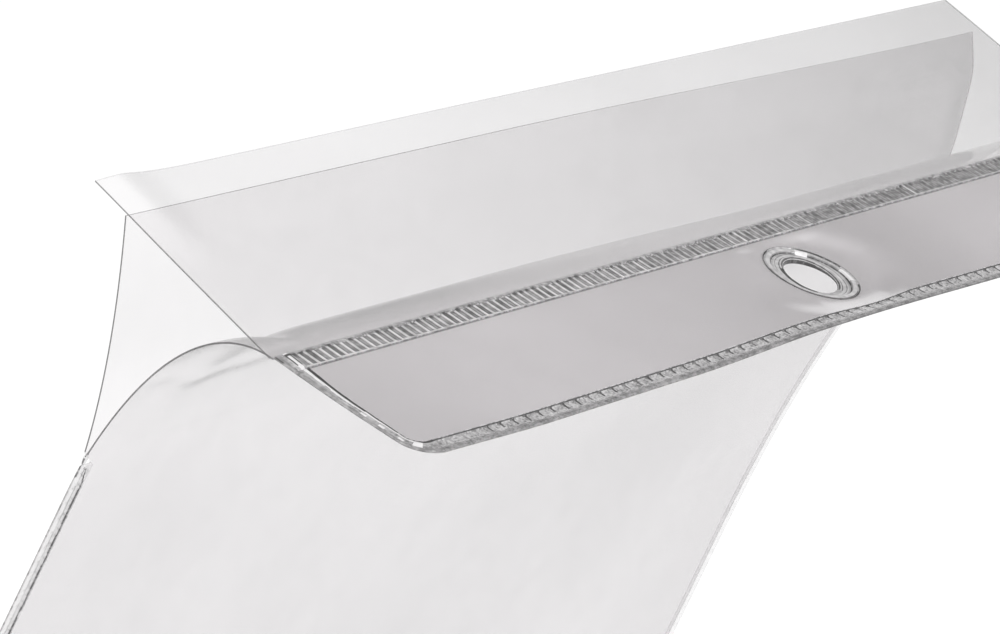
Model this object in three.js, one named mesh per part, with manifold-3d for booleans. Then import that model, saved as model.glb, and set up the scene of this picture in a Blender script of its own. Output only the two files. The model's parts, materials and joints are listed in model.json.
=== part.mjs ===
// Clear hanging display pocket: a welded film pocket that hangs from a stiffened strip with one eyelet.
// Units are millimetres and +Z is up. The origin is the eyelet's centre. X runs along the width,
// the strip points towards +Y, and the pocket's front, with its cover flap, faces -Y.

import * as THREE from "three";
import { mergeVertices } from "three/addons/utils/BufferGeometryUtils.js";
import Module from "manifold-3d";

const wasm = await Module();
wasm.setup();

// Film and sheets
const filmThickness = 0.28;
const pocketWidth = 222;
const bodyDepth = 264;
const pocketAirGap = 0.3;
const flapLength = 40;
const lipCornerRadius = 1.6;
const bodyCornerRadius = 4;

// Shape of the opened mouth, seen from the end
const neckReach = 21.6;
const neckRise = 37.7;
const neckTopPull = 15;
const neckPinchPull = 15.4;
const neckPinchLean = 6.4;
const lipReach = 11.6;
const lipPinchRun = 17.4;
const lipPinchLean = 10;
const flapRise = 10.2;
const flapLipClearance = 0.35;

// Hanging strip
const stripTilt = 11.4;
const stripDepth = 25.4;
const stripCornerRadius = 5;
const stripInnerCornerRadius = 2.2;
const stiffenerThickness = 0.3;
const stiffenerMargin = 0.8;
const eyeletSetback = 14.5;

// Eyelet weld
const eyeletHoleRadius = 4.7;
const eyeletLipWidth = 0.8;
const eyeletLandWidth = 0.6;
const eyeletRidgeWidth = 0.4;
const eyeletBeadWidth = 1.3;
const eyeletOuterRadius = 8.3;
const eyeletBeadHeight = 0.16;
const eyeletRidgeHeight = 0.12;
const eyeletLipHeight = 0.16;
const eyeletLandDrop = 0.5;

// Welded seams
const hingeWeldWidth = 4.1;
const hingeRailWidth = 0.3;
const hingeMarginWidth = 0.8;
const hingeEndMargin = 2.4;
const hingeToothPitch = 1.48;
const hingeToothWidth = 0.8;
const edgeWeldWidth = 3.1;
const edgeRailWidth = 0.3;
const edgeBeadWidth = 1.1;
const edgeToothPitch = 2.85;
const edgeToothWidth = 0.6;
const endWeldWidth = 2.2;
const sideWeldWidth = 2.4;
const bottomWeldWidth = 4;
const weldBeadWidth = 0.7;
const weldThickness = 0.46;
const toothHeight = 0.14;
const tackHeight = 2.6;
const tackCornerRadius = 0.8;
const tackProud = 0.1;

// Clearances
const fusedGap = 0.05;
const foldGap = 0.3;
const stiffFoldGap = 0.55;
const lipFoldGap = 0.2;

// Fineness of the curves
const neckSegments = 26;
const lipSegments = 10;
const cornerSegments = 6;
const roundSegments = 40;
const cutOversize = 5;

// Places worked out from the sizes
const halfWidth = pocketWidth / 2;
const halfFilm = filmThickness / 2;
const tiltAngle = THREE.MathUtils.degToRad(stripTilt);
const stripOuterY = eyeletSetback;
const stripFoldY = stripOuterY - stripDepth;
const flapFoldY = stripFoldY - hingeWeldWidth;
const sheetOffset = halfFilm + fusedGap / 2;
const skinOffset = stiffenerThickness / 2 + fusedGap + halfFilm;
const bodySheetOffset = (pocketAirGap + filmThickness) / 2;
const bodyHalfThickness = bodySheetOffset + halfFilm;

// A point of the tilted strip's own plane, given by its distance out from the eyelet and its height
function onStrip(out, height) {
  const cos = Math.cos(tiltAngle);
  const sin = Math.sin(tiltAngle);
  return new THREE.Vector2(out * cos - height * sin, out * sin + height * cos);
}

// A direction in the YZ plane, given by its lean from straight up towards -Y
function leaning(degrees) {
  const angle = THREE.MathUtils.degToRad(degrees);
  return new THREE.Vector2(-Math.sin(angle), Math.cos(angle));
}

const neckTop = onStrip(flapFoldY - fusedGap, -sheetOffset);
const pinch = new THREE.Vector2(neckTop.x - neckReach, neckTop.y - neckRise);
const sideWeldTopZ = pinch.y - tackHeight;
const bottomZ = pinch.y - bodyDepth - bottomWeldWidth;
const sheetBottomZ = pinch.y - bodyDepth + fusedGap;
const sheetHalfWidth = halfWidth - sideWeldWidth - fusedGap;

// The flap leaves the weld a little higher than the strip's own line
const flapDirection = leaning(90 + stripTilt - flapRise);
const flapAxis = onStrip(flapFoldY, sheetOffset);

// A film's cross-section: the line through its middle, thickened by half the film on each side
function filmSection(middleLine, thickness) {
  const last = middleLine.length - 1;
  const outward = middleLine.map((point, index) => {
    const before = middleLine[Math.max(index - 1, 0)];
    const after = middleLine[Math.min(index + 1, last)];
    const along = after.clone().sub(before).normalize();
    return new THREE.Vector2(-along.y, along.x).multiplyScalar(thickness / 2);
  });
  const oneSide = middleLine.map((point, index) => point.clone().add(outward[index]));
  const otherSide = middleLine.map((point, index) => point.clone().sub(outward[index]));
  return new THREE.Shape([...oneSide, ...otherSide.reverse()]);
}

// A YZ section swept along X, centred on the pocket's middle
function sweepAcross(section, width) {
  const geometry = new THREE.ExtrudeGeometry(section, { depth: width, bevelEnabled: false });
  geometry.translate(0, 0, -width / 2);
  const toWidth = new THREE.Matrix4().makeBasis(
    new THREE.Vector3(0, 1, 0),
    new THREE.Vector3(0, 0, 1),
    new THREE.Vector3(1, 0, 0),
  );
  return geometry.applyMatrix4(toWidth);
}

// A flat outline in the strip's plane, thickened from one height to another
function plateBetween(outline, lowZ, highZ) {
  const geometry = new THREE.ExtrudeGeometry(outline, {
    depth: highZ - lowZ,
    bevelEnabled: false,
    curveSegments: cornerSegments,
  });
  return geometry.translate(0, 0, lowZ);
}

// An upright outline in the XZ plane, thickened towards +Y from a starting Y
function uprightPlate(outline, startY, thickness) {
  const geometry = new THREE.ExtrudeGeometry(outline, {
    depth: thickness,
    bevelEnabled: false,
    curveSegments: cornerSegments,
  });
  geometry.rotateX(Math.PI / 2);
  return geometry.translate(0, startY + thickness, 0);
}

function rectangle(lowX, lowY, highX, highY) {
  const outline = new THREE.Shape();
  outline.moveTo(lowX, lowY);
  outline.lineTo(highX, lowY);
  outline.lineTo(highX, highY);
  outline.lineTo(lowX, highY);
  outline.closePath();
  return outline;
}

function toSolid(geometry) {
  const bare = geometry.clone();
  bare.deleteAttribute("normal");
  bare.deleteAttribute("uv");
  const merged = mergeVertices(bare);
  const mesh = new wasm.Mesh({
    numProp: 3,
    vertProperties: new Float32Array(merged.attributes.position.array),
    triVerts: new Uint32Array(merged.index.array),
  });
  return new wasm.Manifold(mesh);
}

function toGeometry(solid) {
  const mesh = solid.getMesh();
  const geometry = new THREE.BufferGeometry();
  geometry.setAttribute("position", new THREE.BufferAttribute(new Float32Array(mesh.vertProperties), 3));
  geometry.setIndex(new THREE.BufferAttribute(new Uint32Array(mesh.triVerts), 1));
  return geometry;
}

function joined(...geometries) {
  return toGeometry(geometries.map(toSolid).reduce((sum, solid) => sum.add(solid)));
}

function cut(geometry, ...tools) {
  return toGeometry(tools.map(toSolid).reduce((rest, tool) => rest.subtract(tool), toSolid(geometry)));
}

function common(geometry, other) {
  return toGeometry(toSolid(geometry).intersect(toSolid(other)));
}

// The neck: the back sheet's top, which curls over from the hinge weld down to the pinch
function neckLine() {
  const foot = new THREE.Vector2(pinch.x + bodySheetOffset, pinch.y);
  const curve = new THREE.CubicBezierCurve(
    neckTop,
    neckTop.clone().addScaledVector(onStrip(-1, 0), neckTopPull),
    foot.clone().addScaledVector(leaning(-neckPinchLean), neckPinchPull),
    foot,
  );
  return curve.getPoints(neckSegments);
}

// The back sheet hangs straight below the pinch, between the welds, and keeps its full width above
function backSheetGeometry() {
  const sheetBottom = new THREE.Vector2(pinch.x + bodySheetOffset, sheetBottomZ);
  const wholeSheet = sweepAcross(filmSection([...neckLine(), sheetBottom], filmThickness), pocketWidth);
  const weldRooms = [-1, 1].map((side) => {
    const room = new THREE.BoxGeometry(2 * (halfWidth - sheetHalfWidth), cutOversize, bodyDepth + cutOversize);
    return room.translate(side * halfWidth, pinch.x, pinch.y + fusedGap - (bodyDepth + cutOversize) / 2);
  });
  return cut(wholeSheet, ...weldRooms);
}

// The front sheet below the pinch, between the side welds and the bottom weld
function frontSheetGeometry() {
  const outline = rectangle(-sheetHalfWidth, sheetBottomZ, sheetHalfWidth, pinch.y - lipFoldGap);
  return uprightPlate(outline, pinch.x - bodySheetOffset - halfFilm, filmThickness);
}

// The height of the flap's underside over a given Y
function flapUndersideZ(y) {
  const slope = flapDirection.y / flapDirection.x;
  return flapAxis.y + slope * (y - flapAxis.x) - halfFilm / Math.abs(flapDirection.x);
}

// The lip: the front sheet's free top, which leans out and carries the flap on its edge
function frontLipGeometry() {
  const foot = new THREE.Vector2(pinch.x - bodySheetOffset, pinch.y);
  const topY = pinch.x - lipReach;
  const top = new THREE.Vector2(topY, flapUndersideZ(topY - halfFilm) - flapLipClearance);
  const curve = new THREE.QuadraticBezierCurve(
    foot,
    foot.clone().addScaledVector(leaning(lipPinchLean), lipPinchRun),
    top,
  );
  const line = curve.getPoints(lipSegments);
  line[0].addScaledVector(leaning(lipPinchLean), lipFoldGap);
  const bentSheet = sweepAcross(filmSection(line, filmThickness), pocketWidth);
  return common(bentSheet, lipOutlineBlock(top.y));
}

// A block with the lip's outline, rounded at the two top corners
function lipOutlineBlock(topZ) {
  const lowZ = pinch.y - cutOversize;
  const highZ = topZ + halfFilm;
  const radius = lipCornerRadius;
  const outline = new THREE.Shape();
  outline.moveTo(-halfWidth, lowZ);
  outline.lineTo(halfWidth, lowZ);
  outline.lineTo(halfWidth, highZ - radius);
  outline.absarc(halfWidth - radius, highZ - radius, radius, 0, Math.PI / 2, false);
  outline.lineTo(-halfWidth + radius, highZ);
  outline.absarc(-halfWidth + radius, highZ - radius, radius, Math.PI / 2, Math.PI, false);
  outline.closePath();
  const blockDepth = lipReach + 2 * cutOversize;
  return uprightPlate(outline, pinch.x - lipReach - cutOversize, blockDepth);
}

// The cover flap: one flat film that folds at the weld and lies on the lip's edge
function coverFlapGeometry() {
  const start = flapAxis.clone().addScaledVector(flapDirection, foldGap);
  const end = flapAxis.clone().addScaledVector(flapDirection, flapLength);
  return sweepAcross(filmSection([start, end], filmThickness), pocketWidth);
}

// Half of a welded band's cross-section, from its outer edge inwards, mirrored to close it
function weldSection(width) {
  const halfBand = weldThickness / 2;
  const bead = weldBeadWidth;
  const upper = [
    new THREE.Vector2(0, halfBand),
    new THREE.Vector2(bead / 3, bodyHalfThickness),
    new THREE.Vector2(bead, bodyHalfThickness),
    new THREE.Vector2(bead + bead / 3, halfBand),
    new THREE.Vector2(width - bead - bead / 3, halfBand),
    new THREE.Vector2(width - bead, bodyHalfThickness),
    new THREE.Vector2(width, bodyHalfThickness),
  ];
  const lower = upper.map((point) => new THREE.Vector2(point.x, -point.y)).reverse();
  return [...upper, ...lower];
}

// A side weld runs down the pocket's edge and round its bottom corner
function sideWeldGeometry(side) {
  const points = weldSection(sideWeldWidth);
  const placed = points.map((point) => new THREE.Vector2(side * (halfWidth - point.x), pinch.x + point.y));
  const height = sideWeldTopZ - bottomZ;
  const bar = new THREE.ExtrudeGeometry(new THREE.Shape(placed), { depth: height, bevelEnabled: false });
  bar.translate(0, 0, bottomZ);
  return common(bar, bodyOutlineBlock());
}

// A block with the pocket body's outline, rounded at the two bottom corners
function bodyOutlineBlock() {
  const radius = bodyCornerRadius;
  const outline = new THREE.Shape();
  outline.moveTo(-halfWidth, sideWeldTopZ);
  outline.lineTo(-halfWidth, bottomZ + radius);
  outline.absarc(-halfWidth + radius, bottomZ + radius, radius, Math.PI, Math.PI * 1.5, false);
  outline.lineTo(halfWidth - radius, bottomZ);
  outline.absarc(halfWidth - radius, bottomZ + radius, radius, Math.PI * 1.5, Math.PI * 2, false);
  outline.lineTo(halfWidth, sideWeldTopZ);
  outline.closePath();
  return uprightPlate(outline, pinch.x - cutOversize, 2 * cutOversize);
}

// The bottom weld lies between the two side welds
function bottomWeldGeometry() {
  const points = weldSection(bottomWeldWidth);
  const placed = points.map((point) => new THREE.Vector2(pinch.x + point.y, bottomZ + point.x));
  return common(sweepAcross(new THREE.Shape(placed), 2 * sheetHalfWidth), bodyOutlineBlock());
}

// A tack: the small squeezed-out lump that ends each side weld at the mouth
function pinchTackGeometry(side) {
  const halfTack = (sideWeldWidth - fusedGap) / 2;
  const middleX = side * (halfWidth - sideWeldWidth / 2);
  const lowZ = sideWeldTopZ + fusedGap;
  const outline = new THREE.Shape();
  const radius = tackCornerRadius;
  outline.moveTo(-halfTack, lowZ);
  outline.lineTo(halfTack, lowZ);
  outline.lineTo(halfTack, pinch.y - radius);
  outline.absarc(halfTack - radius, pinch.y - radius, radius, 0, Math.PI / 2, false);
  outline.lineTo(-halfTack + radius, pinch.y);
  outline.absarc(-halfTack + radius, pinch.y - radius, radius, Math.PI / 2, Math.PI, false);
  outline.closePath();
  const thickness = 2 * (bodyHalfThickness + tackProud);
  return uprightPlate(outline, pinch.x - thickness / 2, thickness).translate(middleX, 0, 0);
}

// A ladder: a band whose top carries even teeth, drawn in the XZ plane
function ladderOutline(length, pitch, toothWidth, bottom, low, high) {
  const count = Math.floor(length / pitch) - 1;
  const firstX = (-count * pitch) / 2 + (pitch - toothWidth) / 2;
  const outline = new THREE.Shape();
  outline.moveTo(-length / 2, bottom);
  outline.lineTo(length / 2, bottom);
  outline.lineTo(length / 2, low);
  for (let tooth = count - 1; tooth >= 0; tooth -= 1) {
    const startX = firstX + tooth * pitch;
    outline.lineTo(startX + toothWidth, low);
    outline.lineTo(startX + toothWidth, high);
    outline.lineTo(startX, high);
    outline.lineTo(startX, low);
  }
  outline.lineTo(-length / 2, low);
  outline.closePath();
  return outline;
}

// A ladder's outline swept in the strip's plane from one Y to another
function ladderBand(outline, lowY, highY) {
  const band = new THREE.ExtrudeGeometry(outline, { depth: highY - lowY, bevelEnabled: false });
  band.rotateX(Math.PI / 2);
  return band.translate(0, highY, 0);
}

// The hinge weld: the ladder seam that joins strip, flap and back sheet
function hingeWeldGeometry() {
  const bottom = -sheetOffset - halfFilm;
  const low = weldThickness / 2;
  const railTop = sheetOffset + halfFilm;
  const innerY = flapFoldY;
  const outerY = stripFoldY - foldGap;
  const length = pocketWidth - 2 * hingeEndMargin;
  const ladder = ladderOutline(length, hingeToothPitch, hingeToothWidth, bottom, low, low + toothHeight);
  const teeth = ladderBand(ladder, innerY + hingeRailWidth, outerY - hingeMarginWidth);
  const innerRail = rectangle(-halfWidth, innerY, halfWidth, innerY + hingeRailWidth);
  const margin = rectangle(-halfWidth, outerY - hingeMarginWidth, halfWidth, outerY);
  const leftEnd = rectangle(length / 2, innerY, halfWidth, outerY);
  const rightEnd = rectangle(-halfWidth, innerY, -length / 2, outerY);
  const rails = [innerRail, margin, leftEnd, rightEnd].map((outline) => plateBetween(outline, bottom, railTop));
  return joined(teeth, ...rails);
}

// The strip's films stop at the welds' inner borders, round the eyelet and at the fold
function stripOutline(margin) {
  const endX = halfWidth - endWeldWidth - margin;
  const lowY = stripFoldY + stiffFoldGap;
  const highY = stripOuterY - edgeWeldWidth - margin;
  const radius = stripInnerCornerRadius;
  const outline = new THREE.Shape();
  outline.moveTo(-endX, lowY);
  outline.lineTo(endX, lowY);
  outline.lineTo(endX, highY - radius);
  outline.absarc(endX - radius, highY - radius, radius, 0, Math.PI / 2, false);
  outline.lineTo(-endX + radius, highY);
  outline.absarc(-endX + radius, highY - radius, radius, Math.PI / 2, Math.PI, false);
  outline.closePath();
  return outline;
}

function withEyeletHole(outline, radius) {
  const hole = new THREE.Path();
  for (let step = 0; step < roundSegments; step += 1) {
    const angle = (-2 * Math.PI * step) / roundSegments;
    const x = radius * Math.cos(angle);
    const y = radius * Math.sin(angle);
    if (step === 0) hole.moveTo(x, y);
    else hole.lineTo(x, y);
  }
  hole.closePath();
  outline.holes.push(hole);
  return outline;
}

// One film of the strip, on the stiffener's upper or lower face
function stripFilmGeometry(side) {
  const outline = withEyeletHole(stripOutline(fusedGap), eyeletOuterRadius + fusedGap);
  const middle = side * skinOffset;
  return plateBetween(outline, middle - halfFilm, middle + halfFilm);
}

// The stiffener: a translucent insert sealed between the strip's two films
function stiffenerGeometry() {
  const outline = withEyeletHole(stripOutline(stiffenerMargin), eyeletOuterRadius + stiffenerMargin / 2);
  return plateBetween(outline, -stiffenerThickness / 2, stiffenerThickness / 2);
}

// The eyelet: a ring weld with an outer bead, a fine ridge, a sunk land and a lip round the hole
function eyeletRingGeometry() {
  const face = skinOffset + halfFilm;
  const beadInner = eyeletOuterRadius - eyeletBeadWidth;
  const landInner = eyeletHoleRadius + eyeletLipWidth;
  const ridgeInner = landInner + eyeletLandWidth;
  const ridgeOuter = ridgeInner + eyeletRidgeWidth;
  const land = face - eyeletLandDrop;
  const profile = [
    new THREE.Vector2(eyeletHoleRadius, -face),
    new THREE.Vector2(eyeletOuterRadius, -face),
    new THREE.Vector2(eyeletOuterRadius, face),
    new THREE.Vector2(eyeletOuterRadius - eyeletBeadWidth / 3, face + eyeletBeadHeight),
    new THREE.Vector2(beadInner + eyeletBeadWidth / 4, face + eyeletBeadHeight),
    new THREE.Vector2(beadInner, land),
    new THREE.Vector2(ridgeOuter, land),
    new THREE.Vector2((ridgeInner + ridgeOuter) / 2, land + eyeletRidgeHeight),
    new THREE.Vector2(ridgeInner, land),
    new THREE.Vector2(landInner, land),
    new THREE.Vector2(landInner - eyeletLipWidth / 3, land + eyeletLipHeight),
    new THREE.Vector2(eyeletHoleRadius + eyeletLipWidth / 4, land + eyeletLipHeight),
    new THREE.Vector2(eyeletHoleRadius, land),
    new THREE.Vector2(eyeletHoleRadius, -face),
  ];
  return new THREE.LatheGeometry(profile, roundSegments).rotateX(Math.PI / 2);
}

// The strip's outer edge weld: a wide-toothed ladder with a clear bead outside it
function stripEdgeWeldGeometry() {
  const face = skinOffset + halfFilm;
  const low = weldThickness / 2;
  const innerY = stripOuterY - edgeWeldWidth;
  const length = pocketWidth - 2 * stripCornerRadius - 2 * fusedGap;
  const ladder = ladderOutline(length, edgeToothPitch, edgeToothWidth, -low, low, low + toothHeight);
  const teeth = ladderBand(ladder, innerY + edgeRailWidth, stripOuterY - edgeBeadWidth);
  const rail = rectangle(-length / 2, innerY, length / 2, innerY + edgeRailWidth);
  const bead = rectangle(-length / 2, stripOuterY - edgeBeadWidth, length / 2, stripOuterY);
  return joined(teeth, plateBetween(rail, -face, face), plateBetween(bead, -low, face));
}

// An end weld closes the strip at one end and turns round its outer corner
function stripEndWeldGeometry(side) {
  const face = skinOffset + halfFilm;
  const endX = halfWidth;
  const innerX = halfWidth - endWeldWidth;
  const innerY = stripOuterY - edgeWeldWidth;
  const lowY = stripFoldY + stiffFoldGap;
  const outerRadius = stripCornerRadius;
  const innerRadius = stripInnerCornerRadius;
  const outline = new THREE.Shape();
  outline.moveTo(innerX, lowY);
  outline.lineTo(endX, lowY);
  outline.lineTo(endX, stripOuterY - outerRadius);
  outline.absarc(endX - outerRadius, stripOuterY - outerRadius, outerRadius, 0, Math.PI / 2, false);
  outline.lineTo(endX - outerRadius, innerY);
  outline.lineTo(innerX - innerRadius, innerY);
  outline.absarc(innerX - innerRadius, innerY - innerRadius, innerRadius, Math.PI / 2, 0, true);
  outline.closePath();
  const points = outline.getPoints(cornerSegments);
  const placed = new THREE.Shape(points.map((point) => new THREE.Vector2(side * point.x, point.y)));
  return plateBetween(placed, -weldThickness / 2, face);
}

function clearFilm(opacity) {
  return new THREE.MeshStandardMaterial({
    color: 0xe6e5e8,
    roughness: 0.08,
    metalness: 0,
    transparent: true,
    opacity,
  });
}

function weldedFilm() {
  return new THREE.MeshStandardMaterial({
    color: 0xcfced2,
    roughness: 0.15,
    metalness: 0,
    transparent: true,
    opacity: 0.7,
  });
}

function frostedInsert() {
  return new THREE.MeshStandardMaterial({ color: 0xbdbbbf, roughness: 0.45, metalness: 0 });
}

function part(name, geometry, material) {
  const mesh = new THREE.Mesh(geometry, material);
  mesh.name = name;
  return mesh;
}

const sides = [
  ["left", 1],
  ["right", -1],
];

// The strip and all that lies in its plane share one tilted group
const strip = new THREE.Group();
strip.rotation.x = tiltAngle;
strip.add(part("strip_upper_film", stripFilmGeometry(1), clearFilm(0.5)));
strip.add(part("strip_under_film", stripFilmGeometry(-1), clearFilm(0.5)));
strip.add(part("strip_stiffener", stiffenerGeometry(), frostedInsert()));
strip.add(part("eyelet_ring", eyeletRingGeometry(), weldedFilm()));
strip.add(part("strip_edge_weld", stripEdgeWeldGeometry(), weldedFilm()));
for (const [name, side] of sides) {
  strip.add(part(`strip_end_weld_${name}`, stripEndWeldGeometry(side), weldedFilm()));
}
strip.add(part("hinge_weld", hingeWeldGeometry(), weldedFilm()));

// The pocket hangs below the hinge weld
const pocket = new THREE.Group();
pocket.add(part("back_sheet", backSheetGeometry(), clearFilm(0.35)));
pocket.add(part("front_sheet", frontSheetGeometry(), clearFilm(0.35)));
pocket.add(part("front_lip", frontLipGeometry(), clearFilm(0.35)));
pocket.add(part("cover_flap", coverFlapGeometry(), clearFilm(0.35)));
pocket.add(part("bottom_weld", bottomWeldGeometry(), weldedFilm()));
for (const [name, side] of sides) {
  pocket.add(part(`side_weld_${name}`, sideWeldGeometry(side), weldedFilm()));
  pocket.add(part(`pinch_tack_${name}`, pinchTackGeometry(side), weldedFilm()));
}

const displayPocket = new THREE.Group();
displayPocket.add(strip, pocket);
export default displayPocket;
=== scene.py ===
# %% [markdown]
# # A clear hanging display pocket
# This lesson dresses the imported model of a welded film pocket. Everything here is thin clear film:
# flat sheets, one curled neck, and the welds that hold them together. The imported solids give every
# place, so a piece is built where the frame says, in metres, and is never fitted by eye.

# %% Load the frame
import json
import math

import bpy
import numpy as np
from mathutils import Matrix, Vector, noise


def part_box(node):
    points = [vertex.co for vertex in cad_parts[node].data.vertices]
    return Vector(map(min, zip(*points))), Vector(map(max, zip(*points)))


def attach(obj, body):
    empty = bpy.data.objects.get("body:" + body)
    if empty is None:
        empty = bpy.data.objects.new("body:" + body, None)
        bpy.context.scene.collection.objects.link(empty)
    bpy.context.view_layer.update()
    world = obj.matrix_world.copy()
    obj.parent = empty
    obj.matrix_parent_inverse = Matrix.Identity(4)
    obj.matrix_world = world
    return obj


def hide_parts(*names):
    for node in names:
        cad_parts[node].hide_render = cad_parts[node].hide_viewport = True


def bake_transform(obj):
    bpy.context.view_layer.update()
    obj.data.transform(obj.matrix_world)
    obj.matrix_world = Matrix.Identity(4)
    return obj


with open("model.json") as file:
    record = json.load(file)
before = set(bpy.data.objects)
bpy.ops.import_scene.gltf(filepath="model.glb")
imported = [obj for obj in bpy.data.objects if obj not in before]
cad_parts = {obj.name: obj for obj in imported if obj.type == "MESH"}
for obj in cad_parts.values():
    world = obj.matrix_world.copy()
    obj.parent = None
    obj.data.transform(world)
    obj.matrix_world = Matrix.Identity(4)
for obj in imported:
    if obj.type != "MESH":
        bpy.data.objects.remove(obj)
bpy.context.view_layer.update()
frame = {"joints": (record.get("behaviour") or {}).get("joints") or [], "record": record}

# %% [markdown]
# ## Where the folds are
# The pocket folds along three lines: the strip at the hinge weld, the flap at the weld's far border,
# and the front sheet's free top at the pinch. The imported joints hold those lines, and the eyelet's
# mount holds the strip's tilt. All other sizes are a few widths that the welding tool sets.

# %% Read the fold lines
mm = 0.001
joints = {joint["name"]: joint for joint in frame["joints"]}
mounts = {mount["name"]: mount for mount in frame["record"]["mounts"]}
strip_fold = Vector(joints["strip_fold"]["pos_m"])
flap_fold = Vector(joints["flap_lift"]["pos_m"])
pinch_fold = Vector(joints["mouth_open"]["pos_m"])
eyelet_axis = mounts["eyelet"]["axis"]
strip_tilt = math.atan2(-eyelet_axis[1], eyelet_axis[2])
half_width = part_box("cover_flap")[1].x
print("strip tilt", round(math.degrees(strip_tilt), 2), "half width", round(half_width, 4))


def on_strip(x, out, height):
    """A point given in the strip's own plane: across, out from the eyelet, and above the mid-plane."""
    c, s = math.cos(strip_tilt), math.sin(strip_tilt)
    return Vector((x, out * c - height * s, out * s + height * c))


def smooth_step(low, high, value):
    t = min(max((value - low) / (high - low), 0), 1)
    return t * t * (3 - 2 * t)


def hump(value, centre, width):
    return math.exp(-(((value - centre) / width) ** 2))


fold_out = -math.hypot(strip_fold.y, strip_fold.z)
hinge_width = 4.1 * mm
flap_root_out = fold_out - hinge_width
print("fold at", round(fold_out, 5), "flap root at", round(flap_root_out, 5))

# %% [markdown]
# ## Camera
# The photograph looks down on the pocket's back from the side with a long lens, and the camera is
# rolled, which makes the strip rise to the right. Setting a place, a target and a roll is easier to
# read than three angles. The image is 1000 by 634 pixels and the sensor is 36 mm wide. The camera,
# the pieces, the floor and the lamp all enter the scene through one helper.

# %% Place the camera
scene = bpy.context.scene


def new_object(name, data):
    made = bpy.data.objects.new(name, data)
    scene.collection.objects.link(made)
    return made


camera_place = Vector((491.0, 219.2, 298.5)) * mm
camera_target = Vector((33.28, -28.07, -25.59)) * mm
camera_roll = math.radians(28.54)
camera_data = bpy.data.cameras.new("camera")
camera_data.sensor_width = 36
camera_data.lens = 137.64
camera_data.clip_start = 0.02
camera_data.clip_end = 30
camera = new_object("camera", camera_data)
aim = (camera_target - camera_place).to_track_quat("-Z", "Y").to_matrix()
turned = aim @ Matrix.Rotation(camera_roll, 3, "Z")
camera.matrix_world = Matrix.Translation(camera_place) @ turned.to_4x4()
scene.camera = camera
print("camera looks", [round(v, 3) for v in (camera_target - camera_place).normalized()])

# %% [markdown]
# ## Node helpers
# The materials below are small node trees. A few short helpers keep them readable: one adds a node and
# fills its sockets, one does a step of arithmetic, and one gives noise in the object's own space.


# %% Helpers for node trees
def new_material(name):
    material = bpy.data.materials.new(name)
    material.use_nodes = True
    material.node_tree.nodes.clear()
    return material, material.node_tree


def add_node(tree, kind, inputs=None, **settings):
    node = tree.nodes.new(kind)
    for key, value in settings.items():
        setattr(node, key, value)
    for key, value in (inputs or {}).items():
        if isinstance(value, bpy.types.NodeSocket):
            tree.links.new(value, node.inputs[key])
        else:
            node.inputs[key].default_value = value
    return node


def maths(tree, operation, *values):
    return add_node(tree, "ShaderNodeMath", dict(enumerate(values)), operation=operation).outputs[0]


def ramp(tree, value, low, high, at_low, at_high):
    """Goes smoothly from one number to another while the value goes from low to high."""
    inputs = {0: value, 1: low, 2: high, 3: at_low, 4: at_high}
    return add_node(tree, "ShaderNodeMapRange", inputs, interpolation_type="SMOOTHSTEP").outputs[0]


def object_place(tree):
    return add_node(tree, "ShaderNodeTexCoord").outputs["Object"]


def split(tree, vector):
    return add_node(tree, "ShaderNodeSeparateXYZ", {0: vector}).outputs


def mix_shaders(tree, share, first, second):
    return add_node(tree, "ShaderNodeMixShader", {0: share, 1: first, 2: second}).outputs[0]


def mix_values(tree, share, first, second):
    return add_node(tree, "ShaderNodeMix", {0: share, 2: first, 3: second}).outputs[0]


def noise_texture(tree, scale, detail=2.0, stretch=(1, 1, 1)):
    inputs = {0: object_place(tree), 1: stretch}
    stretched = add_node(tree, "ShaderNodeVectorMath", inputs, operation="MULTIPLY").outputs[0]
    inputs = {"Vector": stretched, "Scale": scale, "Detail": detail}
    return add_node(tree, "ShaderNodeTexNoise", inputs).outputs["Fac"]


def output(tree, shader):
    add_node(tree, "ShaderNodeOutputMaterial", {"Surface": shader})


def near_grey(tree, value, lean):
    """A grey that leans a hair towards pink, as the film does."""
    green = maths(tree, "MULTIPLY", value, 1 - lean)
    blue = maths(tree, "MULTIPLY", value, 1 - lean / 2)
    return add_node(tree, "ShaderNodeCombineColor", {0: value, 1: green, 2: blue}).outputs[0]


# %% [markdown]
# ## Clear film
# Clear film has no colour of its own. Each of its two faces lets most light through and mirrors a few
# per cent, more as the film turns edge-on. So the shader is a see-through one mixed with a mirror, and
# the mix follows the angle. A thin sheet doesn't bend what is behind it enough to see, so the
# see-through shader is cleaner than glass here and lets lamps through. A faint cloudiness and a slow
# ripple in the mirror keep the sheets from looking like perfect glass.

# %% Make the clear film
straight_on = 0.044
early_share = 0.25
cloudiest = 0.968
clearest = 0.99
mirror_roughness = 0.12
ripple_depth = 0.12 * mm
film_lean = 0.005


def angle_share(tree):
    """How much one face mirrors: a few per cent straight on, everything edge-on."""
    facing = add_node(tree, "ShaderNodeLayerWeight", {"Blend": 0.5}).outputs["Facing"]
    early = maths(tree, "MULTIPLY_ADD", maths(tree, "POWER", facing, 3.0), early_share, straight_on)
    late = maths(tree, "POWER", facing, 6.0)
    return maths(tree, "MULTIPLY_ADD", late, 1 - straight_on - early_share, early)


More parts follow.
